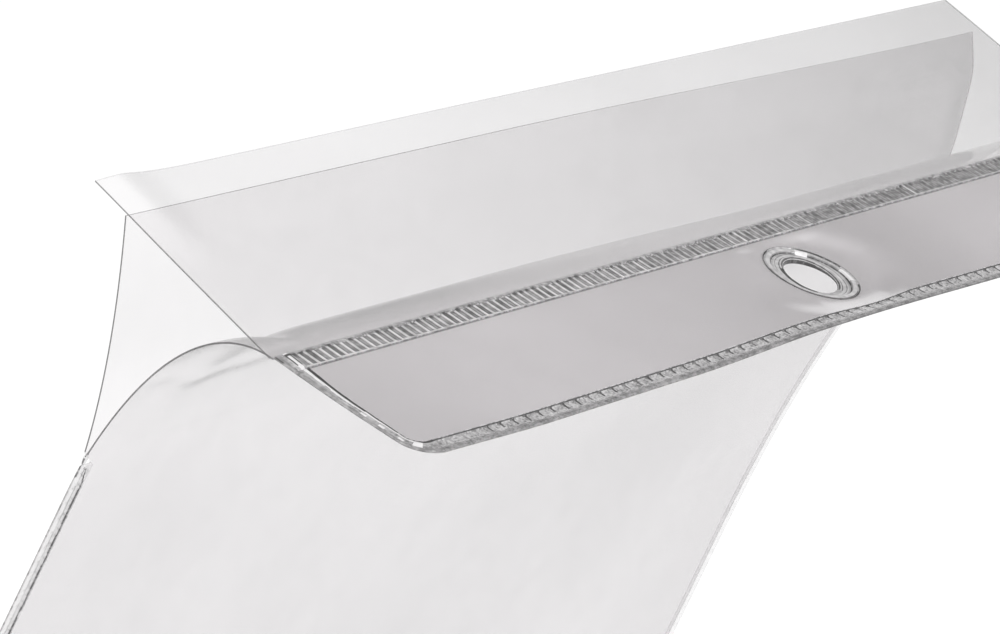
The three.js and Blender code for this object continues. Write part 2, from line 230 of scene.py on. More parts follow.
def make_clear_film(name, right_painted_shade, end_painted_shade):
    """Paints shade into the film's see-through colour: more towards the right, where the light comes
    through at a flatter angle. It changes once more at the right end, and there is none below the pinch."""
    material, tree = new_material(name)
    slow = noise_texture(tree, 22.0, 3.0)
    fine = noise_texture(tree, 260.0, 2.0, (1, 1, 0.6))
    cloud = maths(tree, "MULTIPLY_ADD", fine, 0.35, slow)
    x, _, z = split(tree, object_place(tree))
    to_the_right = ramp(tree, x, 65 * mm, -110 * mm, 0.0, right_painted_shade)
    at_the_end = ramp(tree, x, -65 * mm, -105 * mm, 0.0, end_painted_shade)
    above_pinch = ramp(tree, z, -50 * mm, -40 * mm, 0.0, 1.0)
    # Painted shade in the film: darker towards the right, changed again at the right end.
    painted_film_shade = maths(tree, "MULTIPLY", maths(tree, "ADD", to_the_right, at_the_end), above_pinch)
    clearness = maths(tree, "SUBTRACT", ramp(tree, cloud, 0.3, 1.05, cloudiest, clearest), painted_film_shade)
    tint = near_grey(tree, clearness, film_lean)
    ripple = noise_texture(tree, 45.0, 2.0, (0.35, 1, 1))
    inputs = {"Height": ripple, "Strength": 0.25, "Distance": ripple_depth}
    bump = add_node(tree, "ShaderNodeBump", inputs).outputs[0]
    clear = add_node(tree, "ShaderNodeBsdfTransparent", {"Color": tint}).outputs[0]
    inputs = {"Color": (1, 1, 1, 1), "Roughness": mirror_roughness, "Normal": bump}
    mirror = add_node(tree, "ShaderNodeBsdfAnisotropic", inputs).outputs[0]
    output(tree, mix_shaders(tree, angle_share(tree), clear, mirror))
    return material


# Painted shade: the flap film darkens more at its right end, the clear film lightens a little there.
clear_film = make_clear_film("clear film", right_painted_shade=0.038, end_painted_shade=-0.01)
flap_film = make_clear_film("clear flap film", right_painted_shade=0.038, end_painted_shade=0.028)
print("made", clear_film.name, "and", flap_film.name)

# %% [markdown]
# ## Cut edges, weld lines and the frosted insert
# A cut edge of clear film looks like a thin line, because the light inside it comes from far along the
# sheet. How dark it looks depends on where it faces, so five edge skins paint that shade. A weld is the
# same film, pressed into ribs and beads that bend light strongly, so its lines run from nearly black
# to white. Each line gets a skin with that light or shade painted in: a grey that varies a little,
# glossy, and partly see-through.


# %% Helper for skins
weld_lean = 0.018
speck_depth = 0.05 * mm


def make_skin(name, tone, cover, roughness=0.2, spread=0.12, grain=900.0, shade=None):
    """A partly see-through skin over what lies behind it: its tone, and how much it covers."""
    material, tree = new_material(name)
    speck = noise_texture(tree, grain, 2.0)
    value = ramp(tree, speck, 0.3, 0.7, tone * (1 - spread), tone * (1 + spread))
    if shade:
        value = maths(tree, "MULTIPLY", value, shade(tree))
    inputs = {"Height": speck, "Strength": 0.3, "Distance": speck_depth}
    bump = add_node(tree, "ShaderNodeBump", inputs).outputs[0]
    colour = near_grey(tree, value, weld_lean)
    inputs = {"Base Color": colour, "Roughness": roughness, "Alpha": cover, "Normal": bump}
    output(tree, add_node(tree, "ShaderNodeBsdfPrincipled", inputs).outputs[0])
    return material


def strip_painted_shade(tree):
    """Painted shade: darkest just right of the eyelet, where the strip bows, a little paler to the left,
    palest to the right.
    """
    x = split(tree, object_place(tree))[0]
    middle = ramp(tree, x, -18 * mm, 85 * mm, 0.96, 1.03)
    right = ramp(tree, x, -55 * mm, -16 * mm, 1.24, 1.0)
    left_end = ramp(tree, x, 78 * mm, 108 * mm, 1.0, 0.97)
    return maths(tree, "MULTIPLY", maths(tree, "MULTIPLY", middle, right), left_end)


# %% Make the skins
# Painted shade on the film's cut edges, from dark to faint.
edge_shade_dark = make_skin("film edge shade dark", 0.15, 0.85)
edge_shade_mid = make_skin("film edge shade mid", 0.22, 0.8)
edge_shade_grey = make_skin("film edge shade grey", 0.30, 0.7)
edge_shade_soft = make_skin("film edge shade soft", 0.42, 0.55)
edge_shade_faint = make_skin("film edge shade faint", 0.6, 0.3)
# The weld skins paint the light and shade that the relief bends: the line, groove and slope skins are
# painted shade, the band a pale painted tone, the rib and glint skins painted highlights, and the clear
# skin is nearly clear film.
weld_shade_line = make_skin("weld shade line", 0.10, 0.92)
weld_shade_groove = make_skin("weld shade groove", 0.21, 0.9, spread=0.3)
weld_shade_slope = make_skin("weld shade slope", 0.34, 0.85, spread=0.3)
weld_band = make_skin("weld band", 0.52, 0.8, spread=0.2)
weld_rib_highlight = make_skin("weld rib highlight", 0.68, 0.8, spread=0.15)
weld_painted_glint = make_skin("weld painted glint", 0.95, 0.9, spread=0.05)
weld_clear = make_skin("weld clear", 0.95, 0.35, spread=0.1)
# The frosted insert's own grey, with painted shade along the strip.
frosted = make_skin("frosted insert", 0.82, 0.96, 0.5, 0.012, 60.0, strip_painted_shade)
weld_painted_tones = [weld_shade_line, weld_shade_groove, weld_shade_slope, weld_band, weld_rib_highlight, weld_painted_glint, weld_clear]
# The weld skins by number; all but the clear one paint light or shade.
SHADE_LINE, SHADE_GROOVE, SHADE_SLOPE, BAND, RIB_HIGHLIGHT, PAINTED_GLINT, CLEAR = range(len(weld_painted_tones))
print("made", [finish.name for finish in weld_painted_tones], "and", frosted.name)

# %% [markdown]
# ## Building a sheet
# A sheet is a grid of points on its middle surface, thickened by half the film to each side and closed
# by a rim. Each side of the rim has its own painted edge shade. Edges sharper than 40 degrees stay
# sharp, so that the faces shade as flat film right up to the cut.


# %% Helpers for pieces and sheets
film = 0.28 * mm
sharp_angle = math.radians(40)


def signed_volume(points, faces):
    """Negative when the faces look inwards."""
    total = 0.0
    for first, *others in faces:
        for p, q in zip(others, others[1:]):
            total += points[first].dot(points[p].cross(points[q]))
    return total / 6


def add_piece(name, points, faces, finishes, face_finish):
    points = [Vector(p) for p in points]
    mesh = bpy.data.meshes.new(name)
    mesh.from_pydata(points, [], faces)
    for finish in finishes:
        mesh.materials.append(finish)
    mesh.polygons.foreach_set("material_index", face_finish)
    mesh.polygons.foreach_set("use_smooth", [True] * len(faces))
    if signed_volume(points, faces) < 0:
        mesh.flip_normals()
    mesh.validate()
    mesh.set_sharp_from_angle(angle=sharp_angle)
    mesh.update()
    print(name, len(points), "points", len(faces), "faces")
    return new_object(name, mesh)


def film_sheet(name, middle, rims, welded_from, face_finish):
    """Thickens a grid of middle points. The rims are the skins, mostly painted edge shade, of first row,
    right, last row, left. After the row welded_from the left rim lies in a weld, so it gets the last
    row's skin."""
    rows, columns = middle.shape[:2]
    normal = np.cross(np.gradient(middle, axis=1), np.gradient(middle, axis=0))
    normal /= np.linalg.norm(normal, axis=2, keepdims=True)
    half = normal * film / 2
    points = np.concatenate([middle + half, middle - half]).reshape(-1, 3)
    shift = rows * columns
    faces, kind = [], []
    for i in range(rows - 1):
        for j in range(columns - 1):
            a = i * columns + j
            face = (a, a + 1, a + 1 + columns, a + columns)
            faces += [face, tuple(v + shift for v in reversed(face))]
            kind += [0, 0]
    last = rows * columns - columns
    sides = [
        list(range(columns)),
        list(range(columns - 1, rows * columns, columns)),
        list(range(last + columns - 1, last - 1, -1)),
        list(range(last, -1, -columns)),
    ]
    for side, line in enumerate(sides):
        for p, q in zip(line, line[1:]):
            faces.append((q, p, p + shift, q + shift))
            in_weld = side == 3 and p > welded_from * columns
            kind.append(3 if in_weld else side + 1)
    return add_piece(name, points, faces, [face_finish, *rims], kind)


def even(low, high, count):
    return [float(v) for v in np.linspace(low, high, count)]


# %% [markdown]
# ## The back film
# The back of the pocket is one film. It hangs flat between the welds, and above the pinch it curls
# over and forward into the hinge weld, because the strip is bent back. The curl is drawn as a curve
# with two handles. Only the film's free end stands up fully; a little way in, the crown sinks into a
# soft dent, and a low ridge crosses the curl. These catch the light as the photographed smear does.
# Below, the film isn't perfectly flat either: its free right side leans a little.

# %% Place the curl's ends and handles
sheet_gap = 0.3 * mm
weld_clearance = 0.025 * mm
neck_top = on_strip(0, flap_root_out, -(film / 2 + weld_clearance))
pinch_z = pinch_fold.z
half_gap = (film + sheet_gap) / 2
middle_y = pinch_fold.y + half_gap
foot = Vector((0, middle_y + half_gap, pinch_z))
bottom_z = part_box("bottom_weld")[0].z
side_low, side_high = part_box("side_weld_left")
side_width = side_high.x - side_low.x
neck_pull = 15 * mm
foot_pull = 15.4 * mm
foot_lean = math.radians(6.4)
neck_handle = neck_top - on_strip(0, 1, 0) * neck_pull
foot_handle = foot + Vector((0, math.sin(foot_lean), math.cos(foot_lean))) * foot_pull
print("neck from", [round(v, 4) for v in neck_top], "to", [round(v, 4) for v in foot])

# %% Shape the back film
neck_rows = 61
body_rows = 54
crown_sink = 1.7 * mm
dent_depth = 1.4 * mm
right_sink = 1.8 * mm
ridge_height = 0.5 * mm
twist_depth = 2.6 * mm
twist_length = 95 * mm
body_wave = 0.25 * mm


def neck_point(x, t):
    """The curl at a place across the pocket, from the hinge weld (t = 0) to the pinch (t = 1)."""
    curve = neck_top * (1 - t) ** 3 + neck_handle * 3 * t * (1 - t) ** 2
    curve += foot_handle * 3 * t * t * (1 - t) + foot * t**3
    from_left = half_width - x
    sink = crown_sink * smooth_step(4 * mm, 14 * mm, from_left)
    sink += dent_depth * hump(from_left, 10 * mm, 4.5 * mm)
    sink += right_sink * smooth_step(40 * mm, -30 * mm, x)
    ridge = ridge_height * hump(t, 0.61, 0.05)
    ridge *= smooth_step(34 * mm, 22 * mm, from_left) * smooth_step(0, 4 * mm, from_left)
    return (x, curve.y + ridge, curve.z - sink * math.sin(math.pi * t))


def hang(x, z):
    """How far the hanging sheets lean along Y: the right side twists, and the film waves a little."""
    depth = pinch_z - z
    if depth <= 0:
        return 0.0
    right = smooth_step(20 * mm, -half_width, x)
    twist = twist_depth * math.sin(math.pi * min(depth / twist_length, 2.0))
    wave = body_wave * noise.noise(Vector((x * 14, 0, z * 11)))
    return (wave - right * twist) * smooth_step(0, 8 * mm, depth)


def hanging_rows(xs, y):
    """The rows below the pinch, which narrow down to the space between the side welds."""
    depths = [pinch_z - 0.3 * mm, *even(side_high.z, bottom_z + 1 * mm, body_rows)]
    rows = []
    for z in depths:
        share = smooth_step(pinch_z, side_high.z, z)
        narrow = 1 - share * side_width / half_width
        rows.append([(x * narrow, y + hang(x * narrow, z), z) for x in xs])
    return rows


fine_left = half_width - 24 * mm
fine_right = 8 * mm - half_width
across = even(half_width, fine_left, 25)[:-1] + even(fine_left, fine_right, 38)
across += even(fine_right, -half_width, 7)[1:]
back_grid = [[neck_point(x, t) for x in across] for t in even(0, 1, neck_rows)]
back_grid = np.array(back_grid + hanging_rows(across, foot.y))
# Painted shade on the back film's cut edges, one skin per side.
back_rims = [edge_shade_faint, edge_shade_faint, edge_shade_faint, edge_shade_dark]
back_film = film_sheet("back_film", back_grid, back_rims, neck_rows - 1, clear_film)
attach(back_film, "pocket")
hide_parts("back_sheet")

# %% [markdown]
# ## The front film
# The front is a second film. Below the pinch it lies on the back film, and above it the free top leans
# out as the mouth's lip. It is one film, so it bends at the pinch instead of being cut there. The
# lip's right end rises straighter, with a low bend and a crease near its top, where the flap has
# pushed it over. Its side edge rolls a little.

# %% Shape the lip
lip_reach = 11.6 * mm
lip_lean = math.radians(9)
lip_pull = 17.4 * mm
lip_foot = Vector((0, pinch_fold.y, pinch_z))
lip_handle = lip_foot + Vector((0, -math.sin(lip_lean), math.cos(lip_lean))) * lip_pull
lip_top = Vector((0, middle_y - lip_reach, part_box("front_lip")[1].z - 0.2 * mm))
right_height = 35.4
bend_height = 11.6
crease_height = 29.3
edge_roll = 0.5 * mm
end_shift = 1.0 * mm


def soft_bend(slope, past, radius):
    """Nothing before the bend and a slope past it, with the corner rounded."""
    return slope * radius * math.log1p(math.exp(past / radius))


def right_lip(t):
    """The right end's own curve, in millimetres above the pinch: a low bend and a sharper crease."""
    s = t * right_height
    out = soft_bend(0.324, s - bend_height, 2.5) + soft_bend(0.45, s - crease_height, 1.0)
    return lip_foot + Vector((0, -out, s)) * mm


def lip_point(x, t):
    """The lip at a place across the pocket, from the pinch (t = 0) to its free edge (t = 1)."""
    left = lip_foot * (1 - t) ** 2 + lip_handle * 2 * t * (1 - t) + lip_top * t * t
    side = smooth_step(30 * mm, -half_width, x)
    point = left.lerp(right_lip(t), side)
    roll = edge_roll * smooth_step(6 * mm - half_width, -half_width, x)
    roll *= smooth_step(0, 0.3, t) * smooth_step(1, 0.85, t)
    return (x - end_shift * side**4 * t - 1.2 * roll, point.y - roll, point.z)


# %% Make the front film
lip_rows = 41
front_grid = [[lip_point(x, t) for x in across] for t in even(1, 0, lip_rows)]
front_grid = np.array(front_grid + hanging_rows(across, lip_foot.y))
# Painted shade on the front film's cut edges, one skin per side.
front_rims = [edge_shade_grey, weld_clear, edge_shade_faint, edge_shade_dark]
front_film = film_sheet("front_film", front_grid, front_rims, lip_rows - 1, clear_film)
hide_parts("front_sheet", "front_lip")
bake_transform(front_film)

# %% [markdown]
# ## The cover flap
# The flap is a third film. It leaves the far border of the hinge weld, runs out flat and rests on the
# lip. Its corners are cut square, the left one is bent up by half a millimetre and reaches a little
# further, and the cut runs a hair wide of the welds.

# %% Shape the cover flap
flap_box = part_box("cover_flap")
flap_far = Vector((0, flap_box[0].y, flap_box[0].z + film / 2))
flap_line = flap_far - flap_fold
flap_rows = 41
overhang_at_root = 0.83 * mm
overhang_change = -0.58 * mm
corner_lift = 0.5 * mm
corner_reach = 0.0125
flap_wave = 0.12 * mm


def flap_point(x, t):
    """The flap at a place across the pocket, from its root (t = 0) to its free edge (t = 1)."""
    from_left = half_width - x
    corner = smooth_step(20 * mm, 0, from_left) * smooth_step(0.5, 1, t)
    overhang = (overhang_at_root + overhang_change * t) * smooth_step(8 * mm, 0, from_left)
    lift = corner_lift * hump(from_left, 4.6 * mm, 4 * mm) * smooth_step(0.4, 1, t)
    wave = flap_wave * noise.noise(Vector((x * 18, t * 2, 3))) * t
    reach = t + corner_reach * corner
    y = flap_fold.y + flap_line.y * reach
    z = flap_fold.z + flap_line.z * reach + lift + wave
    return (x + overhang, y, z)


flap_grid = np.array([[flap_point(x, t) for x in across] for t in even(0, 1, flap_rows)])
# Painted shade on the flap's cut edges, one skin per side.
flap_rims = [edge_shade_faint, edge_shade_soft, edge_shade_faint, edge_shade_mid]
cover_flap = film_sheet("cover_flap_film", flap_grid, flap_rims, flap_rows, flap_film)
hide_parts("cover_flap")
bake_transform(cover_flap)

# %% [markdown]
# ## How the strip lies
# The strip isn't flat. Its outer edge bows up near the eyelet, where the film was pulled in by the
# round weld, and curls up at the corner. The eyelet itself is stiff: it stays flat and sits a little
# askew, with a slow passage to the bowed sheet round it.

# %% Bend the strip
edge_out = 14.5 * mm
eyelet_outer = 8.3 * mm
bow_height = 1.0 * mm
curl_height = 0.75 * mm
stiff_reach = 14.5 * mm
seat_tilt = 0.057
seat_pitch = 0.012
seat_depth = 0.25 * mm


def strip_point(x, out, height):
    """A point of the strip as it really lies, with the eyelet seated askew in the bowed sheet."""
    far = min(max((out - fold_out) / (edge_out - fold_out), 0), 1) ** 2
    bow = bow_height * smooth_step(48 * mm, 14 * mm, x) * smooth_step(-48 * mm, 6 * mm, x)
    curl = curl_height * smooth_step(82 * mm, half_width, x)
    stiff = smooth_step(stiff_reach, eyelet_outer, math.hypot(x * 0.7, out))
    stiff *= smooth_step(fold_out, -8 * mm, out)
    seat = seat_tilt * min(max(x, -eyelet_outer), eyelet_outer) - seat_pitch * out - seat_depth
    return on_strip(x, out, height + far * (bow + curl) * (1 - stiff) + seat * stiff)


# %% [markdown]
# ## The strip's films and its insert
# The strip is a sandwich: an upper and an under film with a frosted sheet sealed between them. The
# frosted sheet gives the strip its even grey and hides what is behind it. The sheets are drawn as
# rings that grow from the round eyelet to the strip's outline, so the hole is a true circle. At the
# fold the sheets stop short of the weld, which leaves an open V that lets the strip turn.

# %% Draw the strip's outline
edge_width = 3.1 * mm
end_width = 2.2 * mm
corner_radius = 5 * mm
inner_corner = 2.2 * mm
edge_inner = edge_out - edge_width
end_straight = edge_out - corner_radius - flap_root_out
end_arc = corner_radius * math.pi / 2


def bead_width(s):
    """The end bead's width: widest at the flap's root, narrowest at the corner, then wide again."""
    share = 1.36 - 0.5 * smooth_step(0, 0.6 * end_straight, s)
    share -= 0.09 * smooth_step(0.6, 1, s / end_straight)
    if s > end_straight:
        share += (edge_width / end_width - share) * (s - end_straight) / end_arc
    return end_width * share


def finer_middle(start, end):
    """Positions along a side of the strip, closer together beside the eyelet; the end is left out."""
    inner = math.copysign(24 * mm, end)
    return even(start, -inner, 46)[:-1] + even(-inner, inner, 81) + even(inner, end, 46)[1:-1]


def rounded_outline(margin, near):
    """The strip's outline between its welds, with round outer corners and square ones at the fold."""
    far, r = edge_inner - margin, inner_corner
    sides = [(half_width - bead_width(y - flap_root_out) - margin, y) for y in even(near, far - r, 21)]
    root, left = sides[0][0], sides[-1][0]
    turns = even(0, math.pi / 2, 9)
    outline = [(x, near) for x in finer_middle(-root, root)] + sides[:-1]
    outline += [(left - r + r * math.cos(a), far - r + r * math.sin(a)) for a in turns[:-1]]
    outline += [(x, far) for x in finer_middle(left - r, r - left)]
    outline += [(r - left - r * math.sin(a), far - r + r * math.cos(a)) for a in turns[:-1]]
    outline += [(-x, y) for x, y in reversed(sides[1:])]
    return np.array(outline)


# %% Make the strip's sheets
sheet_rings = 24


def strip_sheet(name, height, thickness, outline, finishes):
    """Rings from the eyelet's circle to the outline, closer together beside the eyelet."""
    angles = np.arctan2(outline[:, 1], outline[:, 0])
    circle = film_hole * np.stack([np.cos(angles), np.sin(angles)], axis=1)
    shares = [share * (0.35 + 0.65 * share) for share in even(0, 1, sheet_rings + 1)]
    rings = [circle * (1 - share) + outline * share for share in shares]
    count, depth = len(outline), len(rings)
    points = []
    for level in (height + thickness / 2, height - thickness / 2):
        points += [strip_point(x, y, level) for ring in rings for x, y in ring]
    shift = count * depth
    last = shift - count
    faces, kind = [], []
    for k in range(count):
        n = (k + 1) % count
        for r in range(depth - 1):
            face = (r * count + k, (r + 1) * count + k, (r + 1) * count + n, r * count + n)
            faces += [face, tuple(v + shift for v in reversed(face))]
            kind += [0, 0]
        faces.append((k, n, n + shift, k + shift))
        faces.append((last + n, last + k, last + k + shift, last + n + shift))
        kind += [1, 1]
    return add_piece(name, points, faces, finishes, kind)


insert_thickness = 0.2 * mm
skin_thickness = 0.16 * mm
skin_space = 0.03 * mm
skin_height = (insert_thickness + skin_thickness) / 2 + skin_space
skin_top = skin_height + skin_thickness / 2
film_hole = eyelet_outer + 0.02 * mm
film_outline = rounded_outline(0, fold_out + 0.32 * mm)
insert_outline = rounded_outline(0.1 * mm, fold_out + 0.15 * mm)
# The strip films' cut edges get the grey painted shade.
film_skins = [clear_film, edge_shade_grey]
upper = strip_sheet("strip_top_film", skin_height, skin_thickness, film_outline, film_skins)
under = strip_sheet("strip_lower_film", -skin_height, skin_thickness, film_outline, film_skins)
insert = strip_sheet("strip_insert", 0, insert_thickness, insert_outline, [frosted, frosted])
for piece, node, slot in (
    (upper, "strip_upper_film", "clear_film"),
    (under, "strip_under_film", "clear_film"),
    (insert, "strip_stiffener", "frosted_insert"),
):
    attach(piece, "strip")
    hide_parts(node)

# %% [markdown]
# ## Welded bands
# A toothed electrode fuses the films and leaves a relief: ribs, grooves, and beads of squeezed-out
# film along the borders. Each weld is a band that follows a line on its sheet. The band is a grid:
# steps along the line and stations across it, each with a height above and below, and a painted tone
# for each little face. The painted tones follow the relief as painted shade and highlights: steep faces
# are painted dark, flat ones pale.


# %% Helper for welded bands
def weld_piece(name, path, steps, stations, relief, painted_tone_of, place, body, node, closed=False):
    """path(s) gives the outer edge's point and its inward step. relief(s, w) gives the heights above
    and below the middle, and painted_tone_of(s, w) the painted light or shade of a little face."""
    heights = [[relief(s, w) for w in stations] for s in steps]
    points = []
    for side in (0, 1):
        for s, line in zip(steps, heights):
            (x, y), (dx, dy) = path(s)
            points += [place(x + dx * w, y + dy * w, h[side]) for w, h in zip(stations, line)]
    rows, columns = len(steps), len(stations)
    shift = rows * columns
    last = columns - 1
    faces, kind = [], []
    for i in range(rows if closed else rows - 1):
        n = (i + 1) % rows
        s = (steps[i] + steps[n]) / 2 if n else steps[i]
        for j in range(last):
            face = (i * columns + j, i * columns + j + 1, n * columns + j + 1, n * columns + j)
            tone = painted_tone_of(s, (stations[j] + stations[j + 1]) / 2)
            faces += [face, tuple(v + shift for v in reversed(face))]
            kind += [tone, tone]
        a, b = i * columns, n * columns
        faces.append((a, b, b + shift, a + shift))
        faces.append((b + last, a + last, a + last + shift, b + last + shift))
        kind += [painted_tone_of(s, stations[0]), painted_tone_of(s, stations[-1])]
    if not closed:
        end = (rows - 1) * columns
        for j in range(last):
            faces.append((j + 1, j, j + shift, j + 1 + shift))
            faces.append((end + j, end + j + 1, end + j + 1 + shift, end + j + shift))
            kind += [CLEAR, CLEAR]
    piece = add_piece(name, points, faces, weld_painted_tones, kind)
    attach(piece, body)
    if node:
        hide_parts(node)


# %% Helpers for teeth
def ladder_steps(length, pitch, cuts):
    """Positions along a ladder, with the same cuts in each pitch, centred on the middle."""
    count = int(length / pitch)
    start = -count * pitch / 2
    steps = [start + (k + cut) * pitch for k in range(count) for cut in cuts]
    inside = [s for s in steps if abs(s) < length / 2 - 0.01 * mm]
    return [-length / 2, *inside, length / 2], start


def phase(s, start, pitch):
    """How far along its own tooth a place is, from 0 to 1."""
    return ((s - start) / pitch) % 1


def chance(a, b=0.0):
    """A repeatable random number from 0 to 1 for a place."""
    return noise.noise(Vector((a * 7.31 + 0.37, b * 3.17 + 0.71, 5.3))) / 1.2 + 0.5


# %% [markdown]
# ## The hinge ladder
# The seam between strip, flap and back film is a ladder of close ribs. Between the ribs the film is
# pressed thin, and its steep flanks are painted dark as shade; the ribs carry painted highlights.
# Towards the flap each groove ends in a cap painted dark. Towards the strip there is a plain pale
# margin, which thins out to the open V. To the right, where the view runs along the ribs, the painted
# shade and highlights are softer and dimmer.

# %% Build the hinge weld
ladder_pitch = 1.48 * mm
rib_share = 0.4
rib_height = 0.1 * mm
hook_height = 0.08 * mm
fold_slope = 1.05
cap_end = 0.9
margin_start = 3.7
ladder_end = bead_width(0) - 0.1 * mm
ladder_length = 2 * (half_width - ladder_end)
ladder_cuts = (0, 0.06, 0.14, 0.25, 0.32, 0.4, 0.52, 0.66, 0.8, 0.9)
ladder_places, ladder_start = ladder_steps(ladder_length, ladder_pitch, ladder_cuts)
ladder_widths = (0, 0.25, 0.5, 0.62, 0.76, 0.9, 1.2, 2.4, 3.3, 3.6, 3.72, 3.8, 3.88, 3.96, 4.07)


def ladder_path(s):
    return (s, flap_root_out), (0, 1)


def ladder_relief(s, w):
    p = phase(s, ladder_start, ladder_pitch)
    rib = math.sin(math.pi * p / rib_share) if p < rib_share else 0.0
    ends = smooth_step(0.5 * mm, 0.9 * mm, w) * smooth_step(3.8 * mm, 3.5 * mm, w)
    hook = hump(w, 0.62 * mm, 0.14 * mm) * (0.6 + 0.4 * chance(s / ladder_pitch))
    height = skin_top + rib_height * rib * ends + hook_height * (hook - ends)
    room = fold_slope * (hinge_width - w)
    return min(height, room), -min(0.2 * mm, room)


def ladder_painted_tone(s, w):
    """Across the weld, in painted light and shade: a ragged border, a dark cap, the ribs and grooves,
    and the pale margin.
    """
    p = phase(s, ladder_start, ladder_pitch)
    tooth = math.floor((s - ladder_start) / ladder_pitch)
    w = w / mm
    # Teeth to the right get softer, dimmer painted shade and highlights.
    soft = chance(tooth, 11) < 1.1 * smooth_step(75 * mm, -15 * mm, s)
    dim = chance(tooth, 13) < 1.1 * smooth_step(25 * mm, -50 * mm, s)
    if w < 0.2 + 0.35 * chance(s * 900, 1):
        return BAND
    if w < cap_end:
        if p > 0.5 and w > 0.5 and chance(tooth, 2) > 0.55:
            return SHADE_GROOVE if soft else SHADE_LINE
        smear = chance(s * 1500, w * 3)
        return SHADE_GROOVE if smear < 0.4 else (SHADE_SLOPE if smear < 0.7 else RIB_HIGHLIGHT)
    if w > margin_start + 0.14 * chance(tooth, 7):
        if w > 3.94:
            return SHADE_GROOVE if chance(s * 700, 4) > 0.4 else BAND
        return BAND if dim or chance(tooth, 8) < 0.4 else RIB_HIGHLIGHT
    if p < rib_share:
        if soft:
            return SHADE_SLOPE if dim else BAND
        return PAINTED_GLINT if 0.12 < p < 0.26 and chance(tooth, 1) > 0.5 else RIB_HIGHLIGHT
    if p < 0.52 or p > 0.88:
        return SHADE_LINE if chance(tooth, 3) > 0.55 and not soft else SHADE_GROOVE
    return SHADE_SLOPE if w > 1.2 and chance(tooth, 5) > 0.25 else SHADE_GROOVE


weld_piece(
    "hinge_ladder_weld", ladder_path, ladder_places, [w * mm for w in ladder_widths], ladder_relief,
    ladder_painted_tone, on_strip, "pocket", "hinge_weld",
)

# %% [markdown]
# ## The strip's outer edge
# The outer edge has a ladder with wider teeth. Inside it runs a painted highlight line and a line of
# painted shade, and outside it a clear bead, painted a shaded grey, whose inner border is ragged,
# because the hot film ran out unevenly.

# %% Build the strip's edge weld
edge_pitch = 2.85 * mm
bead_border = 1.1 * mm
# Where the painted shade line and the painted highlight line start, measured in from the outer edge.
painted_shade_line = 2.7 * mm
painted_highlight_line = 2.98 * mm
edge_length = 2 * (half_width - corner_radius)
edge_cuts = (0, 0.05, 0.1, 0.16, 0.22, 0.3, 0.4, 0.5, 0.6, 0.7, 0.8, 0.9)
edge_places, edge_start = ladder_steps(edge_length, edge_pitch, edge_cuts)
edge_widths = [*even(0, 1.4, 12), 1.7, 2.0, 2.25, 2.5, 2.7, 2.85, 2.98, 3.1]


def edge_path(s):
    return (s, edge_out), (0, -1)


def ragged(s):
    return 0.3 * mm * noise.noise(Vector((s * 900, 5, 0)))


def edge_relief(s, w):
    bead = smooth_step(1.3 * mm + ragged(s), 0.6 * mm, w) * smooth_step(-0.1 * mm, 0.35 * mm, w)
    p = phase(s, edge_start, edge_pitch)
    tick = smooth_step(0.0, 0.06, p) * smooth_step(0.24, 0.18, p) * smooth_step(1.2 * mm, 1.5 * mm, w)
    rise = smooth_step(2.5 * mm, 2.8 * mm, w)
    height = 0.1 + 0.16 * bead - 0.06 * tick * (1 - rise)
    below = 0.06 + 0.12 * smooth_step(0, 0.4 * mm, w)
    return height * mm + (skin_top - 0.1 * mm) * rise, -below * mm


def edge_weld_painted_tone(s, w):
    """Painted light and shade from the inner lines outwards to the bead, with the teeth between them."""
    p = phase(s, edge_start, edge_pitch)
    tooth = math.floor((s - edge_start) / edge_pitch)
    faint = chance(tooth, 12) < smooth_step(84 * mm, 98 * mm, s)
    if w > painted_highlight_line:
        return PAINTED_GLINT if chance(s * 300, 8) > 0.5 else BAND
    if w > painted_shade_line:
        return SHADE_LINE if chance(s / edge_pitch * 3) > 0.3 else SHADE_GROOVE
    grain = chance(s * 1300, w * 2800)
    if w < 0.12 * mm and s < 25 * mm:
        return SHADE_GROOVE
    if w < bead_border + ragged(s):
        return SHADE_GROOVE if grain > 0.72 else SHADE_SLOPE
    reach = (1.35 + 0.5 * chance(tooth, 3)) * mm
    if 0.04 < p < 0.22 and w > reach:
        return SHADE_SLOPE if faint else (SHADE_LINE if chance(tooth, 9) > 0.3 else SHADE_GROOVE)
    if 0.22 < p < 0.42 and w > 2.45 * mm:
        return SHADE_SLOPE if faint else SHADE_GROOVE
    return SHADE_SLOPE if grain < 0.3 else (BAND if grain < 0.6 else RIB_HIGHLIGHT)


weld_piece(
    "strip_edge_ladder_weld", edge_path, edge_places, [w * mm for w in edge_widths], edge_relief,
    edge_weld_painted_tone, strip_point, "strip", "strip_edge_weld",
)

# %% [markdown]
# ## The strip's end beads
# Each end of the strip is closed by a narrow bead that turns the outer corner and fades into the edge
# weld. It is smooth, with an inner border painted dark as shade, a painted highlight line beside it,
# trapped bubbles painted as white glints, streaks of painted light and shade, and a painted flash at the
# corner. It starts at the flap's root, so its first stretch belongs to the pocket's side of the fold.

# %% Build the end beads
end_shares = (0, 0.05, 0.14, 0.23, 0.32, 0.41, 0.5, 0.57, 0.64, 0.7, 0.755, 0.84, 0.93, 1)


def end_path(side):
    def path(s):
        width = bead_width(s)
        if s <= end_straight:
            return (side * half_width, flap_root_out + s), (-side * width, 0)
        angle = (s - end_straight) / corner_radius
        c, n = math.cos(angle), math.sin(angle)
        x = side * (half_width - corner_radius + corner_radius * c)
        y = edge_out - corner_radius + corner_radius * n
        return (x, y), (-side * c * width, -n * width)

    return path


